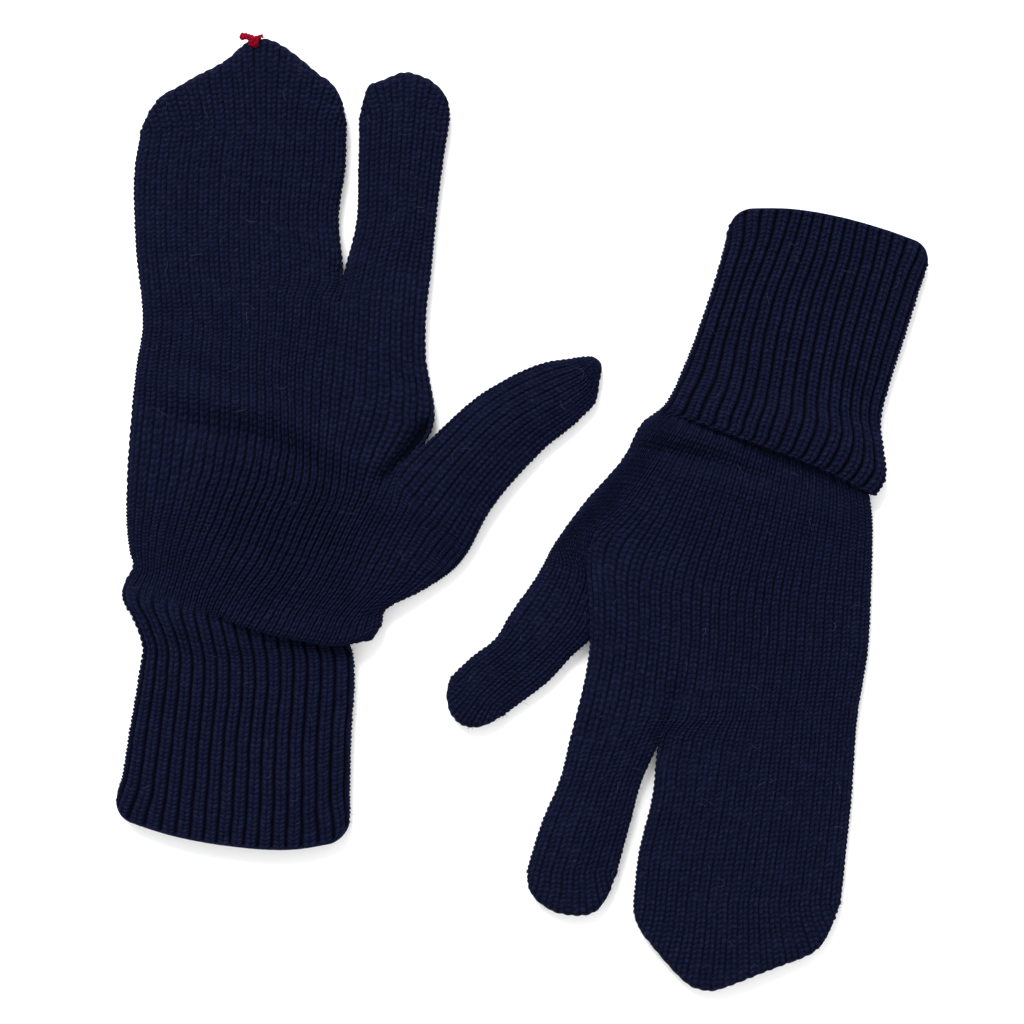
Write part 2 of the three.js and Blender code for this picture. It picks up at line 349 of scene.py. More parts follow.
    def ring(self, along, inside=False):
        """Closed rows of points round the tube, with each point's wale and distance along the tube."""
        width = self.columns[-1] - self.columns[0]
        count = int(round(width * (RIB_COLUMNS if self.rib else WALE_COLUMNS)))
        upper, lower = (self.spread(along, side, count) for side in (1, -1))
        top, far_top = self.place(along, upper, 1, inside)
        bottom, far_bottom = self.place(along, lower, -1, inside)
        points = np.concatenate([top[:, :-1], bottom[:, :0:-1]], axis=1)
        travelled = np.concatenate([far_top[:, :-1], far_bottom[:, :0:-1]], axis=1)
        wale = self.columns[0] + np.arange(2 * count) / count * width
        return points, np.broadcast_to(wale, travelled.shape), travelled

    def normals(self, points):
        round_it = np.roll(points, -1, axis=1) - np.roll(points, 1, axis=1)
        normal = np.cross(round_it, np.gradient(points, axis=0))
        return normal / np.maximum(np.linalg.norm(normal, axis=2, keepdims=True), 1e-9)

    def stitches(self, wale, travelled, points):
        """At each point: the height in the stitches, their depth in millimetres, and the yarn's tone."""
        x, y = points[..., 0], points[..., 1]
        wander = waves(x, y, *COURSE_WANDER, self.seed)
        course = self.first_course + (travelled - self.start) / self.course + wander
        uneven = 1 + waves(wale, course, *LOOSENESS, self.seed + 2)
        ribs_per_wale = 1 if self.rib else CUFF[-1] / HAND[-1]
        rib = wale * ribs_per_wale + 0.5 + waves(x, y, *RIB_WANDER, self.seed + 1)
        if self.rib:
            height = rib_stitch(rib, course)
            firm = smooth(1 - (travelled - self.start) / CAST_ON)
            height = height + (CAST_ON_HEIGHT - height) * firm
            return height, self.relief(travelled) * uneven, stitch_tone(rib, course, self.seed)
        wale = wale + 0.5 + waves(x, y, *WALE_WANDER, self.seed + 1)
        gap, depth = GAP, STITCH_DEPTH * uneven
        if self.slack:
            at_x, at_y, radius, amount = self.slack
            near = np.exp(-((x - at_x) ** 2 + (y - at_y) ** 2) / radius ** 2)
            gape = amount * near * (points[..., 2] > UPPER_SIDE)
            # wider gaps also show more of the painted shade between the wales
            gap, depth = gap + gape, depth * (1 + gape)
        height = knit_stitch(wale, course, gap)
        if self.ribbed:
            ribbing = smooth(1 - (travelled - self.start) / self.ribbed)
            rib_course = self.first_course + (travelled - self.start) / RIB_COURSE + wander
            height = height + (rib_stitch(rib, rib_course) - height) * ribbing
            depth = depth + self.relief(travelled) - STITCH_DEPTH
        return height, depth, stitch_tone(wale, course, self.seed)

    def surface(self):
        """The stitched outside: points, heights in the stitches, tones, the rows' distances, normals."""
        length = self.end + self.tip_length - self.start
        rows = int(round(length / self.course * COURSE_ROWS))
        along = self.start + length / rows * np.arange(-1, rows + 2)
        points, wale, travelled = self.ring(along)
        height, depth, tone = self.stitches(wale, travelled, points)
        height = height * (1 + TONE_DEPTH * tone)
        if self.tip:
            closed = smooth(1 - (self.end + self.tip_length - along) / END_SEAM)[:, None]
            height = height + (SEAM_HEIGHT - height) * closed
        raised = points + self.normals(points) * ((height - 0.5) * depth)[..., None]
        real = slice(1, -1)  # without the two extra rows that only serve to find the normals
        return raised[real], height[real], tone[real], along[real], self.normals(raised)[real]


# ---- The two mittens as they lie ----
def row(points, high, low=0):
    """A control row: points, and the heights of the upper and the lower side at each or at all of them."""
    low, high = (np.broadcast_to(np.asarray(value, float), len(points)) for value in (low, high))
    return [(x, y, bottom, top) for (x, y), bottom, top in zip(points, low, high)]


PALM_HIGH = (6.8, 9.2, 9.6, 9.4, 8.4)
STALL_HIGH = (6.6, 8.2, 6.6)
POUCH_HIGH = (6.8, 9.2, 6.8)
CUFF_HIGH = (6.4, 8.2, 8.6, 8.2, 6.4)

RIGHT = {
    "cuff": [
        row([(-143, -107.3), (-123, -113.5), (-102.5, -117.2), (-81.5, -118.5), (-61.9, -115.6)],
            CUFF_HIGH),
        row([(-140.8, -96), (-121.5, -102), (-101.5, -105.5), (-81, -106.5), (-61.2, -100)], CUFF_HIGH),
        row([(-137.4, -75), (-119, -78.5), (-100, -80), (-80.5, -80.5), (-60.6, -78)], CUFF_HIGH),
        row([(-134.4, -57), (-117, -58.5), (-98, -59), (-79, -59.5), (-59.5, -58)], CUFF_HIGH),
        row([(-133.3, -46.5), (-117, -49), (-98.5, -51), (-79, -51), (-60, -50)], (6.4, 7.8, 8, 7.8, 6.2)),
        row([(-136.1, -37.8), (-118.5, -42.5), (-99.5, -46), (-80, -46.5), (-61, -46)],
            (7.4, 9.4, 8.2, 7.2, 6.2), (0, 0, 0.6, 1.4, 2)),
    ],
    "wrist": [
        row([(-140.3, -30), (-120, -35), (-98, -38), (-88, -38.5), (-78.5, -39), (-69, -40), (-59, -42)],
            (7.9, 10.4, 8.4, 7.6, 7.2, 6.8, 6.4), (0, 0, 1, 1.4, 1.6, 1.8, 2)),
        row([(-139.6, -25), (-119.4, -31), (-97.5, -39.8), (-86.5, -42.8),
             (-75.8, -45), (-65.2, -46.4), (-53.5, -45)],
            (7.8, 10.4, 9.8, 9.6, 9.5, 9.3, 8.4), (0, 0, 0.8, 0.9, 1, 1, 1)),
        row([(-137, -20), (-118.4, -27), (-96.5, -39.2), (-85, -42.4),
             (-74, -44.4), (-62.5, -45.4), (-50.2, -40.5)],
            (7, 9.6, 11.8, 12.4, 12.4, 12, 9.6)),
        row([(-137.9, -13.5), (-116, -20), (-91.5, -31), (-80.5, -34.5),
             (-70, -36.5), (-59, -37.5), (-48.6, -34.6)],
            (6.8, 9.4, 11.4, 11.8, 11.8, 11.2, 8.4)),
        row([(-138.8, -6), (-112.8, -11), (-84, -20.5), (-73, -23),
             (-62, -25), (-49.5, -27), (-36.8, -28.2)],
            (6.8, 9, 10, 10, 10, 9.4, 7.2)),
        row([(-139, 4), (-107.8, 1.5), (-76.5, -4), (-65, -6.5), (-54, -8.5), (-41, -13.5), (-27.5, -22.6)],
            (6.8, 9, 9.6, 9.8, 9.8, 9.2, 7)),
        row([(-138.4, 20), (-103, 16), (-71, 8.5), (-59.5, 6), (-47.8, 3), (-36, -5), (-22.8, -18.6)],
            (6.8, 9, 9.6, 9.6, 9.4, 9, 7)),
    ],
    "thumb_fork": row([(-137, 37), (-100.5, 33), (-69.8, 23), (-57, 18.5),
                       (-43.6, 13), (-32.5, -1), (-19.4, -14.2)],
                      (6.8, 9.2, 9.6, 9.2, 9, 9.6, 7.4), (0, 0, 0, 0, 1, 1, 0.5)),
    "palm": [
        row([(-135.4, 52), (-100.5, 50.5), (-68.5, 44), (-51, 38.5), (-31.3, 31)], (6.8, 9.4, 9.6, 9, 6.2)),
        row([(-133.3, 66), (-100, 66), (-66.5, 63), (-50.2, 60), (-34.2, 56)], PALM_HIGH),
        row([(-134, 78), (-100.2, 78.5), (-64.8, 77), (-49.2, 76), (-33.6, 74)], PALM_HIGH),
    ],
    "finger_fork": row([(-135, 86), (-100.6, 86), (-63.4, 81.5), (-48, 85), (-32.3, 84)],
                       (6.8, 9.2, 8, 8.4, 6.8)),
    "pouch": [
        row([(-136.2, 104), (-101, 104), (-64.8, 104)], POUCH_HIGH),
        row([(-136.2, 120), (-100, 121), (-62.5, 121)], POUCH_HIGH),
        row([(-134.2, 133), (-98.5, 134), (-62, 134)], POUCH_HIGH),
    ],
    "pouch_tip": ((0, 0.4), (0.016, 3.6), (0.041, 7.4), (0.072, 10.8), (0.113, 13.8), (0.163, 15.6),
                  (0.263, 19.6), (0.44, 26.4), (0.517, 31.2), (0.58, 32.8), (0.647, 32.2), (0.7, 30.2),
                  (0.792, 25.2), (0.879, 19.8), (0.927, 17.4), (0.959, 14.3), (0.981, 10.5), (1, 2.2)),
    "index": [
        row([(-58.4, 100), (-44.6, 100.5), (-30.9, 99)], STALL_HIGH),
        row([(-57.4, 120), (-43, 121), (-28.6, 119)], STALL_HIGH),
        row([(-57.1, 138), (-41.5, 139), (-25.7, 138)], STALL_HIGH),
    ],
    "index_tip": ((0, 0.4), (0.03, 5), (0.058, 8.8), (0.085, 11.2), (0.126, 12.7), (0.2, 13.4),
                  (0.33, 15), (0.47, 16.6), (0.54, 16.7), (0.67, 15.6), (0.81, 13.6), (0.91, 10.7),
                  (0.955, 8.8), (0.985, 6.2), (1, 3)),
    "thumb": [
        row([(-30, 27.3), (-20.6, 14.5), (-11.5, 0.5)], (10.4, 11.4, 8.4), (3.4, 2.4, 1)),
        row([(-10, 44), (-1.5, 33), (7.2, 22)], (7.8, 9.4, 7), (1, 0.6, 0)),
        row([(8.8, 52.5), (15.5, 42.5), (20.9, 33.6)], (6.6, 8, 6.4)),
        row([(17.4, 53.8), (22, 46.6), (25.9, 39.6)], (6.4, 7.6, 6.4)),
        row([(22, 54.4), (24.8, 50), (26.9, 45.8)], (6.4, 7.4, 6.4)),
        row([(24.6, 54.4), (26.2, 51.8), (27.6, 49.2)], (6.6, 7.2, 6.6)),
    ],
    "thumb_tip": ((0, 0.4), (0.25, 1.3), (0.5, 1.6), (0.75, 1.3), (1, 0.4)),
    "folds": [
        ([(-129, 47), (-113, 40), (-97, 37), (-80, 31.5), (-64, 20), (-48, 11)], 5, 2.6),
        ([(-127, 36), (-112, 29), (-97, 26.5), (-81, 21), (-67, 10)], 4.5, -2.4),
        ([(-131, 71), (-116, 67), (-104, 60)], 4.5, -1.2),
        ([(-110, -14), (-88, -24), (-68, -30)], 6, 1),
        ([(-63.4, 88), (-63, 80), (-62, 70)], 2.8, -3),
        ([(-51, 8), (-46.5, 14.5), (-41, 20.5), (-35.5, 27), (-31, 33)], 3.2, -6),
        ([(-128, 60), (-122, 84), (-126, 108)], 8, 0.9),
        ([(-50, 44), (-46, 60), (-47, 76)], 6, 0.9),
        ([(-30, 8), (-22, 16), (-16, 26)], 4, 0.8),
        ([(-129, -22), (-123, -32), (-120, -44)], 3.4, 0.9),
        ([(-114, -27), (-109, -37), (-107, -47)], 2.8, -0.9),
        ([(-104, -34), (-99, -42), (-98, -50)], 2.8, 0.7),
    ],
    "slack": (-86, -2, 38, 0.22),
}

LEFT = {
    "cuff": [
        row([(143.6, 93.4), (127, 99.2), (110, 103.8), (93.5, 106.4), (74.8, 106.6)], CUFF_HIGH),
        row([(139.7, 79.5), (124.5, 88), (107.3, 92), (90.3, 95), (72.4, 96)], CUFF_HIGH),
        row([(134, 61), (119, 68.5), (101.5, 73.5), (83.5, 76.5), (66.8, 76.4)], CUFF_HIGH),
        row([(129.8, 48), (115.3, 53.5), (97.8, 57.5), (79.3, 60.5), (61.6, 61.4)], CUFF_HIGH),
        row([(125.7, 30.5), (112.5, 36.5), (95, 42), (76.5, 46), (57.2, 50.3)], (6.6, 8.6, 9, 8.8, 7)),
        row([(126.8, 19.5), (112.8, 26), (93.5, 33), (74, 38.5), (54.2, 43.5)], (9.2, 12, 12, 10.4, 7.8)),
        row([(127.2, 12), (110.5, 19.5), (91.4, 27), (72, 33.6), (51.8, 39)], (10, 12.8, 12.4, 10.4, 7.8)),
        row([(124.4, 6.8), (107.5, 15.2), (89.3, 22.4), (70.6, 29.2), (50, 36.7)],
            (9, 10.8, 10.8, 9.6, 7.6), (1, 1, 1, 0.5, 0)),
    ],
    "wrist": [
        row([(121.4, 10), (99, 21), (76.5, 29), (67, 31.6), (58.5, 33.8), (52, 34.6), (47.6, 34.9)],
            (6.4, 4.8, 5, 5.6, 6.6, 7.2, 7), (2, 1, 0.6, 0.4, 0.2, 0, 0)),
        row([(122.3, 4), (99.8, 14.4), (74.8, 23.4), (64.5, 26.7), (55, 29.6), (48, 31.4), (43, 31.6)],
            (6.8, 6.4, 7, 7.8, 8.6, 8.8, 7.2), (1, 0.6, 0, 0, 0, 0, 0)),
        row([(123.1, -4), (98.5, 3), (70.5, 11.5), (59, 15.5), (47.5, 18.8), (41, 20.2), (36.6, 19.8)],
            (6.6, 8.8, 9.6, 9.6, 9.2, 8.6, 7)),
        row([(123, -17), (95.5, -13), (64.5, -6), (51, -2), (37, 3.5), (29, 4.4), (22.2, 3)],
            (6.6, 9, 9.8, 9.6, 9.2, 8.4, 6.8)),
    ],
    "thumb_fork": row([(122.4, -34), (92, -32), (58, -27), (41.5, -22),
                       (23.5, -13), (16.5, -11), (10.8, -12.8)],
                      (6.6, 9.2, 9.6, 9.6, 8.4, 7.4, 6.4), (0, 0, 0, 1, 2.6, 1, 0)),
    "palm": [
        row([(121.6, -48), (91, -47), (57.5, -43), (41, -39), (23.8, -32)], (6.6, 9.2, 9.6, 9.8, 10.6),
            (0, 0, 0, 1.4, 5)),
        row([(119.8, -60), (89.5, -60), (56, -57.5), (39.8, -54), (24, -48)], (6.6, 9.2, 9.6, 9.2, 8.2),
            (0, 0, 0, 0.4, 1.6)),
        row([(117.8, -72), (87.5, -72.5), (53.2, -72), (37, -70), (21.2, -64)], PALM_HIGH),
    ],
    "finger_fork": row([(117, -82), (86, -82.5), (49.2, -79), (33, -82), (17.1, -80)],
                       (6.8, 9.2, 8, 8.4, 6.8)),
    "pouch": [
        row([(115.8, -100), (83.5, -100), (46, -101)], POUCH_HIGH),
        row([(114, -118), (80.5, -119), (41.4, -120)], POUCH_HIGH),
        row([(112, -137), (77.5, -138), (39.5, -137)], POUCH_HIGH),
    ],
    "pouch_tip": ((0, 0.4), (0.018, 3.8), (0.0386, 7.8), (0.06, 11.6), (0.091, 15.2), (0.135, 18.2),
                  (0.187, 20), (0.295, 22.8), (0.4, 25.7), (0.56, 30.2), (0.614, 31.4), (0.672, 31.1),
                  (0.726, 29.8), (0.77, 27.3), (0.847, 21.4), (0.92, 15), (0.957, 11.6), (0.986, 7.5),
                  (1, 3.6)),
    "index": [
        row([(42.6, -93), (28.7, -93.5), (14, -93)], STALL_HIGH),
        row([(38, -109), (23.5, -110), (7, -110)], STALL_HIGH),
        row([(33.4, -126), (18, -127.5), (2, -126)], STALL_HIGH),
    ],
    "index_tip": ((0, 1), (0.051, 4.7), (0.08, 7.3), (0.118, 9.8), (0.166, 12.2), (0.217, 14),
                  (0.297, 15.4), (0.42, 16), (0.556, 15.7), (0.725, 14.4), (0.805, 12.9), (0.879, 11.2),
                  (0.94, 9), (0.98, 6.6), (1, 3)),
    "thumb": [
        row([(29.5, -27), (20, -20), (8.6, -17)], (5.6, 6.2, 6)),
        row([(26.5, -40.5), (17, -30.5), (4.9, -23.5)], (5.2, 6.6, 6.2)),
        row([(16.6, -51.3), (7, -45), (-4.4, -36.8)], (6.2, 8, 6.4)),
        row([(9.4, -59.2), (-0.4, -52), (-9.2, -44.8)], STALL_HIGH),
        row([(0.7, -65.9), (-9, -58.8), (-18.2, -51.8)], STALL_HIGH),
        row([(-6, -70.8), (-15, -64.5), (-24.6, -58)], STALL_HIGH),
    ],
    "thumb_tip": ((0, 0.6), (0.054, 3.2), (0.092, 5.1), (0.144, 7.2), (0.203, 8.9), (0.275, 10.3),
                  (0.356, 11.3), (0.5, 12), (0.646, 11.3), (0.735, 10.4), (0.8, 9), (0.873, 7.4),
                  (0.926, 5.7), (0.961, 3.8), (1, 1)),
    "folds": [
        ([(46, 29), (61, 26), (76, 22.5)], 2.8, 2),
        ([(41, 24), (52, 21), (64, 18.5), (77, 14.5), (90, 10)], 3.2, -3),
        ([(116, -2), (98, 2), (78, 8), (60, 12), (42, 15)], 5, 0.9),
        ([(110, 24), (107, 35), (110, 47)], 3.4, 0.8),
        ([(92, 30), (89, 41), (92, 54)], 3, -0.9),
        ([(75, 36), (73, 46), (75, 58)], 3.4, 0.8),
        ([(48, -88), (50.5, -76), (54, -60)], 2.8, -3),
        ([(34, -14), (40, -32), (42, -50)], 6, 0.7),
        ([(100, -40), (104, -70), (100, -100)], 8, 0.6),
        ([(10, -22), (2, -33), (-6, -42)], 4, 0.5),
    ],
    "slack": (80, -20, 34, 0.1),
}


def part_of(control_row, columns):
    """The points of a row of the whole hand that lie on these of its columns."""
    return [point for column, point in zip(HAND, control_row) if column in columns]


def in_ribs(control_row):
    """A row of the hand with its points at the cuff's columns."""
    return through(HAND, control_row, np.array(CUFF) * HAND[-1] / CUFF[-1])


def in_wales(control_row):
    """A row of the cuff with its points at the hand's columns."""
    return through(CUFF, control_row, np.array(HAND) * CUFF[-1] / HAND[-1])


def tubes_of(mitten, seed):
    """The six tubes of a mitten, each guided by a row or two of the tubes before and after it."""
    cuff_rows, wrist_rows, fork = mitten["cuff"], mitten["wrist"], mitten["thumb_fork"]
    beyond_fork = [*mitten["palm"][0][:4], *mitten["thumb"][0]]
    before, crotch = mitten["palm"][-1], mitten["finger_fork"]
    beyond_crotch = [*mitten["pouch"][0], *mitten["index"][0][1:]]
    common = {"seed": seed, "folds": mitten["folds"]}
    cuff = Tube(CUFF, [*cuff_rows, in_ribs(wrist_rows[0]), in_ribs(wrist_rows[1])], end=-2, rib=True,
                mouth=MOUTH_CORNER, **common)
    wrist = Tube(HAND, [in_wales(cuff_rows[-1]), *wrist_rows, fork, beyond_fork], start=1, end=-2,
                 after=cuff, pinch=FORK_AT_THUMB, ribbed=RIB_FADE, slack=mitten["slack"], **common)
    palm_rows = [part_of(wrist_rows[-1], PALM), part_of(fork, PALM), *mitten["palm"], crotch, beyond_crotch]
    palm = Tube(PALM, palm_rows, start=1, end=-2, after=wrist, pinch=FORK_AT_FINGERS, slack=mitten["slack"],
                **common)
    thumb = Tube(THUMB, [part_of(wrist_rows[-1], THUMB), part_of(fork, THUMB), *mitten["thumb"]],
                 start=1, after=wrist, tip=mitten["thumb_tip"], slack=mitten["slack"], **common)
    pouch = Tube(POUCH, [part_of(before, POUCH), part_of(crotch, POUCH), *mitten["pouch"]],
                 start=1, after=palm, tip=mitten["pouch_tip"], **common)
    index = Tube(INDEX, [part_of(before, INDEX), part_of(crotch, INDEX), *mitten["index"]],
                 start=1, after=palm, tip=mitten["index_tip"], **common)
    return {"cuff": cuff, "wrist": wrist, "palm": palm, "pouch": pouch, "index": index, "thumb": thumb}


# ---- Meshes ----
def grid_faces(start, rows, columns, flip=False):
    """Quads between closed rows of points numbered from start."""
    point = start + np.arange(rows * columns).reshape(rows, columns)
    beside = np.roll(point, -1, axis=1)
    quads = np.stack([point[:-1], beside[:-1], beside[1:], point[1:]], axis=-1).reshape(-1, 4)
    return quads[:, ::-1] if flip else quads


def rim_faces(outer, inner):
    """Quads from one closed row of points to another."""
    return np.stack([np.roll(outer, -1), outer, inner, np.roll(inner, -1)], axis=-1)


def shut(points):
    """Brings the two sides of the last row together, and says which point each point of the row becomes."""
    count = points.shape[1] // 2
    lower = np.arange(count + 1, 2 * count)
    twin = np.arange(2 * count)
    twin[lower] = 2 * count - lower
    points[-1] = (points[-1] + points[-1][(2 * count - np.arange(2 * count)) % (2 * count)]) / 2
    return twin


def new_mesh(name, points, quads, attributes, flat=0, normals=None):
    """An object of quads, smooth but for the last few, with a number for each attribute at each point.

    A normal of zero in normals leaves the choice to Blender.
    """
    mesh = bpy.data.meshes.new(name)
    mesh.vertices.add(len(points))
    mesh.vertices.foreach_set("co", np.ascontiguousarray((points + ORIGIN) * MM, dtype=np.float32).ravel())
    mesh.loops.add(quads.size)
    mesh.loops.foreach_set("vertex_index", np.ascontiguousarray(quads, dtype=np.int32).ravel())
    mesh.polygons.add(len(quads))
    mesh.polygons.foreach_set("loop_start", np.arange(0, quads.size, 4, dtype=np.int32))
    mesh.polygons.foreach_set("use_smooth", np.arange(len(quads)) < len(quads) - flat)
    mesh.update(calc_edges=True)
    if normals is not None:
        mesh.normals_split_custom_set_from_vertices(normals.tolist())
    for key, values in attributes.items():
        attribute = mesh.attributes.new(key, "FLOAT", "POINT")
        attribute.data.foreach_set("value", np.asarray(values, np.float32))
    piece = bpy.data.objects.new(name, mesh)
    bpy.context.scene.collection.objects.link(piece)
    return piece


def knitted_pieces(name, tube, surface):
    """Makes a tube as closed hollow pieces, cut across into as many as keep each below MOST_QUADS."""
    points, height, tone, along, normals = surface
    rows, columns = points.shape[:2]
    bands = math.ceil(rows * columns / MOST_QUADS)
    cuts = np.linspace(0, rows - 1, bands + 1).round().astype(int)
    made = []
    for number, (first, last) in enumerate(zip(cuts[:-1], cuts[1:]), start=1):
        outside = points[first:last + 1].copy()
        closed = tube.tip is not None and last == rows - 1
        inner_end = max(along[last] - INNER_END, along[first] + 1) if closed else along[last]
        steps = max(2, int((inner_end - along[first]) / INNER_STEP) + 1)
        inside = tube.ring(np.linspace(along[first], inner_end, steps), inside=True)[0]
        inner_start = outside.shape[0] * columns
        last_outer = (len(outside) - 1) * columns + np.arange(columns)
        last_inner = inner_start + (steps - 1) * columns + np.arange(columns)
        quads = [grid_faces(0, len(outside), columns), grid_faces(inner_start, steps, columns, flip=True)]
        rims = [rim_faces(np.arange(columns), inner_start + np.arange(columns))]
        renumber = np.arange(inner_start + steps * columns)
        if closed:
            renumber[last_outer] = last_outer[0] + shut(outside)
            renumber[last_inner] = last_inner[0] + shut(inside)
        else:
            rims.append(rim_faces(last_outer, last_inner)[:, ::-1])
        quads = renumber[np.concatenate(quads + rims)]
        kept, quads = np.unique(quads, return_inverse=True)
        everything = np.concatenate([outside.reshape(-1, 3), inside.reshape(-1, 3)])[kept]
        # The inside has height 0, so the wool paints it all over in the groove's painted shade
        plain = np.zeros(steps * columns)
        numbers = {key: np.concatenate([values[first:last + 1].ravel(), plain])[kept]
                   for key, values in (("height", height), ("tone", tone))}
        facing = normals[first:last + 1].copy()
        facing[-2 if closed else len(facing):] = 0
        facing = np.concatenate([facing.reshape(-1, 3), np.zeros((steps * columns, 3))])[kept]
        title = name if bands == 1 else f"{name}_{number}"
        flat = sum(map(len, rims))
        made.append(new_mesh(title, everything, quads.reshape(-1, 4), numbers, flat, facing))
    return made


def strands(name, paths, radius, sides=4):
    """Thin closed tubes along paths[strand, point], which taper from the root to the end."""
    count, length = paths.shape[:2]
    tangents = np.gradient(paths, axis=1)
    tangents /= np.linalg.norm(tangents, axis=2, keepdims=True)
    beside = np.cross(tangents[:, 0], ACROSS_ANY)
    turns = np.arange(sides) / sides * 2 * math.pi
    rings = []
    for step in range(length):
        along = tangents[:, step]
        beside = beside - along * (beside * along).sum(axis=1, keepdims=True)
        beside = beside / np.linalg.norm(beside, axis=1, keepdims=True)
        other = np.cross(along, beside)
        spokes = beside[:, None] * np.cos(turns)[:, None] + other[:, None] * np.sin(turns)[:, None]
        taper = 1.25 - 0.5 * step / (length - 1)
        rings.append(paths[:, step, None] + spokes * radius * taper)
    points = np.stack(rings, axis=1).reshape(-1, 3)
    quads = grid_faces(0, length, sides)
    fan = np.array([(0, k, k + 1, k + 2) for k in range(1, sides - 2, 2)])
    one = np.concatenate([quads, fan[:, ::-1], (length - 1) * sides + fan])
    every = np.arange(count)[:, None, None] * length * sides + one
    whole = np.ones(len(points))
    return new_mesh(name, points, every.reshape(-1, 4), {"height": whole, "tone": whole})


def plied_yarn(name, route, radius, twist, steps):
    """Two plies of yarn twisted round each other along a smooth route, a turn every twist millimetres."""
    route = np.array(route, float)
    reach = np.concatenate([[0], np.cumsum(np.linalg.norm(np.diff(route, axis=0), axis=1))])
    middle = through(reach, route, np.linspace(0, reach[-1], steps))
    tangent = np.gradient(middle, axis=0)
    tangent /= np.linalg.norm(tangent, axis=1, keepdims=True)
    beside = np.zeros_like(middle)
    beside[0] = np.cross(tangent[0], ACROSS_ANY)
    for step in range(1, steps):
        beside[step] = beside[step - 1] - tangent[step] * (beside[step - 1] @ tangent[step])
        beside[step] /= np.linalg.norm(beside[step])
    beside[0] /= np.linalg.norm(beside[0])
    other = np.cross(tangent, beside)
    angle = (np.linspace(0, reach[-1], steps) / twist * 2 * math.pi)[:, None]
    plies = [middle + radius / 2 * (beside * np.cos(angle + turn) + other * np.sin(angle + turn))
             for turn in (0, math.pi)]
    return strands(name, np.array(plies), radius * PLY_RADIUS, sides=8)


# ---- Materials ----
def wool(name, groove, ridge, sheen=0.0, fleck=(0, 0, 0)):
    """Knitted yarn: painted shade darkens it down between the stitches, with plies, fibres, uneven dye and
    flecks of lint.

    Scales are features to a metre: 90 is for uneven dye 11 mm across, 2300 for fibres of less than 0.5 mm.
    """
    material = bpy.data.materials.new(name)
    material.use_nodes = True
    nodes, links = material.node_tree.nodes, material.node_tree.links
    nodes.clear()

    def node(kind, **inputs):
        made = nodes.new("ShaderNode" + kind)
        for key, value in inputs.items():
            made.inputs[key.replace("_", " ")].default_value = value
        return made

    place = node("TexCoord").outputs["Object"]

    def noise(scale, detail, stretch=(1, 1, 1)):
        mapping = node("Mapping", Scale=stretch)
        links.new(place, mapping.inputs["Vector"])
        texture = node("TexNoise", Scale=scale, Detail=detail, Roughness=0.6)
        links.new(mapping.outputs["Vector"], texture.inputs["Vector"])
        return texture.outputs["Fac"]

    def ramp(factor, low, high, dark, light):
        made = node("ValToRGB")
        links.new(factor, made.inputs["Fac"])
        first, second = made.color_ramp.elements
        first.position, second.position = low, high
        first.color, second.color = (*dark, 1), (*light, 1)
        return made.outputs["Color"]

    def mix(kind, one, other):
        made = node("MixRGB", Fac=1.0)
        made.blend_type = kind
        links.new(one, made.inputs["Color1"])
        links.new(other, made.inputs["Color2"])
        return made.outputs["Color"]

    def at_each_point(number):
        made = node("Attribute")
        made.attribute_name = number
        return made.outputs["Fac"]

    # painted shade: each point's height in the stitch picks a colour from groove, painted shade down
    # between the stitches, to ridge, the yarn's own colour on top
    yarn = ramp(at_each_point("height"), 0.1, 0.95, groove, ridge)
    spun = ramp(at_each_point("tone"), 0.0, 1.0, (0.9, 0.9, 0.91), (1.14, 1.13, 1.11))
    dye = ramp(noise(90, 2), 0.3, 0.7, (0.9, 0.91, 0.93), (1.1, 1.09, 1.07))
    hue = ramp(noise(1100, 1), 0.35, 0.65, (0.86, 1.04, 1.0), (1.16, 0.97, 1.02))
    fibre = ramp(noise(2300, 4, (1, 0.6, 1)), 0.32, 0.7, (0.4, 0.4, 0.46), (1.75, 1.7, 1.58))
    lint = ramp(noise(1500, 1), 0.76, 0.8, (0, 0, 0), fleck)
    colour = yarn
    for factor in (hue, spun, mix("MULTIPLY", dye, fibre)):
        colour = mix("MULTIPLY", colour, factor)

    plies = node("TexWave", Scale=640, Distortion=5.0, Detail=2.0, Detail_Scale=1.6)
    plies.bands_direction = "DIAGONAL"
    links.new(place, plies.inputs["Vector"])
    ply_bump = node("Bump", Strength=0.35, Distance=0.00012)
    links.new(plies.outputs["Fac"], ply_bump.inputs["Height"])
    fibre_bump = node("Bump", Strength=0.45, Distance=0.00009)
    links.new(noise(6400, 4), fibre_bump.inputs["Height"])
    links.new(ply_bump.outputs["Normal"], fibre_bump.inputs["Normal"])

    surface = node("BsdfPrincipled", Roughness=0.92, Sheen_Weight=sheen, Sheen_Roughness=0.42,
                   Sheen_Tint=(0.3, 0.4, 1, 1), Specular_IOR_Level=0.03)
    links.new(mix("ADD", colour, lint), surface.inputs["Base Color"])
    links.new(fibre_bump.outputs["Normal"], surface.inputs["Normal"])
    output = node("OutputMaterial")
    links.new(surface.outputs["BSDF"], output.inputs["Surface"])
    return material


# In each wool, groove is painted shade down between the stitches, far darker in the ribs' grooves, and
# ridge is the yarn's own colour
navy_knit = wool("navy_knit", (0.0007, 0.0012, 0.0044), (0.0039, 0.0053, 0.019), 0.025, (0.02, 0.02, 0.03))
navy_rib = wool("navy_rib", (0.0001, 0.0003, 0.0013), (0.004, 0.0055, 0.0196), 0.025, (0.02, 0.02, 0.03))
red_yarn = wool("red_yarn", (0.035, 0.0002, 0.002), (0.13, 0.0006, 0.0075), fleck=(0.02, 0, 0))
pale_lint = wool("pale_lint", (0.022, 0.026, 0.045), (0.038, 0.044, 0.07))

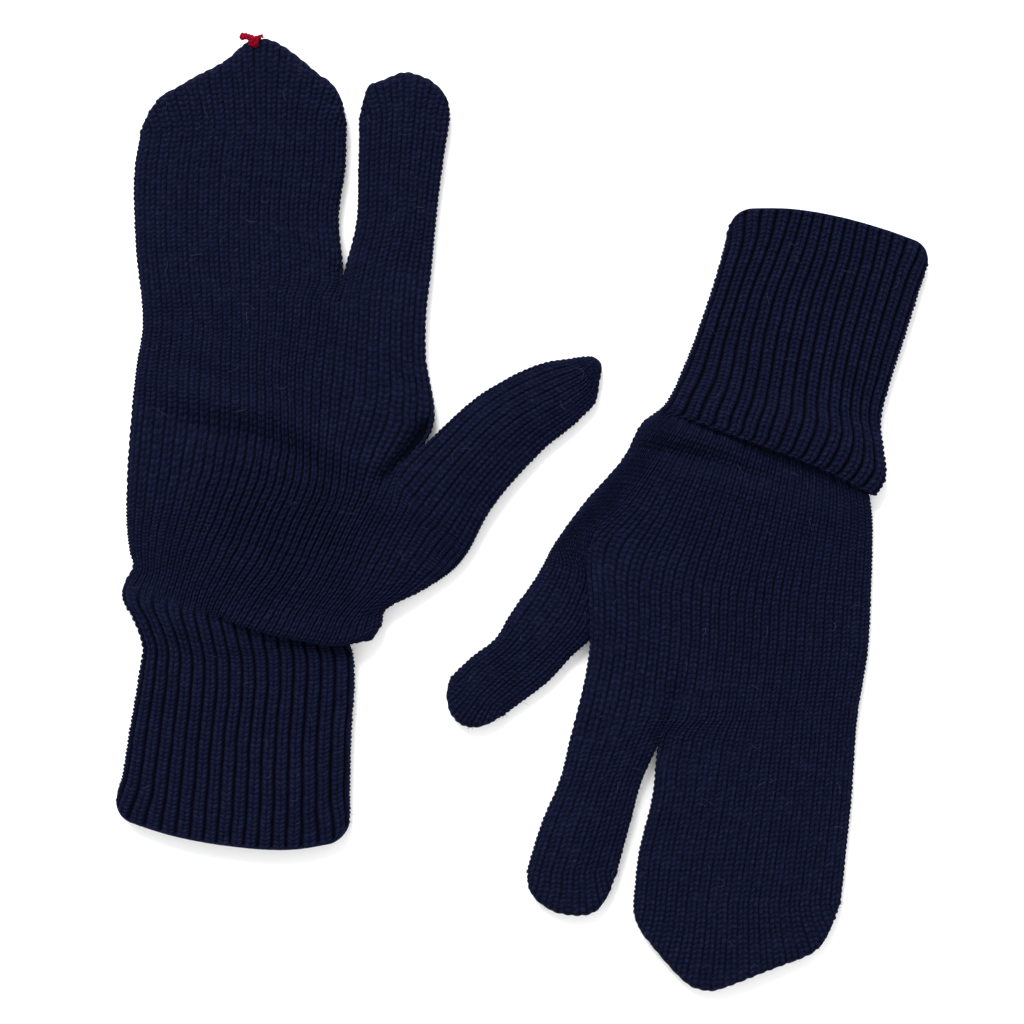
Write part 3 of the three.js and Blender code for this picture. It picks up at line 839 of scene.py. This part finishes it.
# ---- Putting the pieces on the frame ----
BENDS = {  # joint, body, and how far before and past the hinge the fabric bends, in millimetres
    "cuff": ("cuff_fold", "cuff", -4, 10),
    "thumb": ("thumb_fold", "thumb", -7, 9),
    "index": ("index_fold", "index", 2.5, 20),
    "pouch": ("mitt_fold", "mitt", 2.5, 20),
}
STANDS_FOR = {
    "cuff": ("cuff", "cuff_edge", "wrist_roll"),
    "wrist": ("hand", "wrist_roll", "thumb_gusset"),
    "palm": ("hand", "finger_fork"),
    "pouch": ("mitt_pouch", "mitt_tip"),
    "index": ("index_stall", "index_tip"),
    "thumb": ("thumb_stall", "thumb_tip"),
}


def attach(piece, side, part):
    """Attaches a piece to its hand's body; a part listed in BENDS is attached to none and only has its
    place baked into its mesh.
    """
    if part in BENDS:
        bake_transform(piece)
    else:
        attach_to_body(piece, f"{side}_hand")
    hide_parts(*(f"{side}_{node}" for node in STANDS_FOR[part]))


def add_fuzz(name, surface, count, seed):
    """Short loose fibres that stand out of the stitches all over a tube, as one piece."""
    points, normals = surface[0], surface[4]
    draw = np.random.default_rng(seed)
    rows, columns = (draw.integers(0, size, count) for size in points.shape[:2])
    root = points[rows, columns]
    lean = normals[rows, columns] + draw.normal(0, FUZZ_LEAN, (count, 3))
    curl = draw.normal(0, FUZZ_CURL, (count, 3))
    size = FUZZ_LENGTH * draw.uniform(0.4, 1.2, (count, 1))
    shares = (0, 0.35, 0.7, 1)
    paths = np.stack([root + size * (lean * share + curl * share ** 2) for share in shares], axis=1)
    paths[..., 2] = np.maximum(paths[..., 2], 0.1)  # above the floor
    return strands(name, paths, FUZZ_RADIUS)


def add_lint(name, surface, count, seed):
    """A few long pale hairs that have caught on the upper side and lie curled on it."""
    points, normals = surface[0], surface[4]
    draw = np.random.default_rng(seed)
    upper = np.argwhere((normals[..., 2] > LINT_LEVEL) & (points[..., 2] > LINT_FLOOR))
    row, column = upper[draw.integers(0, len(upper), count)].T
    heading, bend = draw.uniform(0, 2 * math.pi, (count, 1)), draw.normal(0, LINT_BEND, (count, 1))
    travelled = draw.uniform(*LINT_LENGTH, (count, 1)) * np.linspace(0, 1, LINT_POINTS)
    step = np.diff(travelled, axis=1, prepend=0)
    x, y = (np.cumsum(step * turn(heading + bend * travelled), axis=1) for turn in (np.cos, np.sin))
    lift = 0.35 + 0.5 * np.sin(np.linspace(0, math.pi, LINT_POINTS))
    path = np.stack([x, y, np.broadcast_to(lift, x.shape)], axis=-1)
    return strands(name, points[row, column][:, None] + path, LINT_RADIUS)


for side, mitten, seed in (("right", RIGHT, 10), ("left", LEFT, 20)):
    for part, tube in tubes_of(mitten, seed).items():
        finish, slot = (navy_rib, "navy_rib") if part == "cuff" else (navy_knit, "navy_knit")
        surface = tube.surface()
        pieces = knitted_pieces(f"{side}_{part}_knit", tube, surface)
        pieces.append(add_fuzz(f"{side}_{part}_fuzz", surface, FUZZ[part], seed))
        for piece in pieces:
            piece.data.materials.append(finish)
        pieces.append(add_lint(f"{side}_{part}_lint", surface, LINT[part], seed + 5))
        pieces[-1].data.materials.append(pale_lint)
        for piece in pieces:
            attach(piece, side, part)

# ---- The red yarn tied through the right pouch's tip ----
KNOT = np.array((-94.0, 164.7, 9.6))
KNOT_RADIUS, KNOT_TURNS, KNOT_POINTS = 1.15, 4.2, 44
KNOT_TILT = 0.9  # how far each turn is tilted from the one before, in radians
YARN_RADIUS, YARN_TWIST, YARN_STEPS = 0.85, 2.6, 12
PLY_RADIUS = 0.56  # of the yarn's


def knot_route():
    """The yarn wound on itself: each turn goes round the knot's middle, tilted a little further."""
    turns = np.linspace(0, KNOT_TURNS, KNOT_POINTS)
    angle, tilt = turns * 2 * math.pi, turns * KNOT_TILT
    across_it = np.stack([np.cos(tilt), np.sin(tilt) * 0.6, np.sin(tilt) * 0.8], axis=1)
    up_it = np.stack([-np.sin(tilt) * 0.5, 0.8 * np.ones_like(tilt), 0.6 * np.cos(tilt)], axis=1)
    return KNOT + KNOT_RADIUS * (across_it * np.cos(angle)[:, None] + up_it * np.sin(angle)[:, None])


YARNS = {  # piece: the CAD node it stands for, and the yarn's route
    "marker_knot_yarn": ("marker_knot", knot_route()),
    "marker_loop_left": ("marker_end_left", [
        (-94, 165.8, 7.6), (-95.2, 166.8, 7.8), (-96.5, 167.1, 7.2), (-97.7, 167.7, 6.8),
        (-98.6, 167.2, 6.5), (-98.4, 166.6, 6.8), (-97.4, 166.7, 7.6), (-96.4, 166.4, 8),
        (-95.3, 166.1, 8.2), (-94.2, 165.4, 7.8)]),
    "marker_end_right_yarn": ("marker_end_right", [
        (-94.2, 165.4, 8.6), (-93.4, 166, 8.8), (-92.5, 166.3, 8.4), (-91.7, 166.8, 7.8),
        (-91, 167.2, 7.2)]),
}
for name, (node, route) in YARNS.items():
    piece = plied_yarn(name, route, YARN_RADIUS, YARN_TWIST, YARN_STEPS * len(route))
    piece.data.materials.append(red_yarn)
    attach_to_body(piece, "right_mitt")
    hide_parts(node)


# ---- Floor, light and camera, in metres ----
def area_light(name, position, size, power):
    """A round lamp that shines on the middle of the pair."""
    light = bpy.data.lights.new(name, "AREA")
    light.shape, light.size, light.energy = "DISK", size, power
    lamp = bpy.data.objects.new(name, light)
    lamp.location = position
    lamp.rotation_euler = (-Vector(position)).to_track_quat("-Z", "Y").to_euler()
    bpy.context.scene.collection.objects.link(lamp)


area_light("soft_top", (-0.7, 2.0, 2.0), 1.5, 118)
area_light("soft_fill", (0.7, -0.6, 1.5), 1.4, 6)

world = bpy.data.worlds.new("studio")
world.use_nodes = True
backdrop = world.node_tree.nodes["Background"]
backdrop.inputs["Color"].default_value = (1, 1, 1, 1)
backdrop.inputs["Strength"].default_value = 1.15
bpy.context.scene.world = world
bpy.context.scene.view_settings.view_transform = "Standard"

bpy.ops.mesh.primitive_plane_add(size=3, location=(0, 0, -0.0002))
floor = bpy.context.object
floor.name = "floor"
paper = bpy.data.materials.new("white_paper")
paper.use_nodes = True
finish = paper.node_tree.nodes["Principled BSDF"]
finish.inputs["Base Color"].default_value = (0.9, 0.9, 0.9, 1)
finish.inputs["Roughness"].default_value = 0.9
floor.data.materials.append(paper)

# The camera looks straight down.
lens = bpy.data.cameras.new("camera")
lens.lens, lens.sensor_width = 100, 36
camera = bpy.data.objects.new("camera", lens)
camera.location = (-0.004226, -0.000654, 1.006)
bpy.context.scene.collection.objects.link(camera)
bpy.context.scene.camera = camera
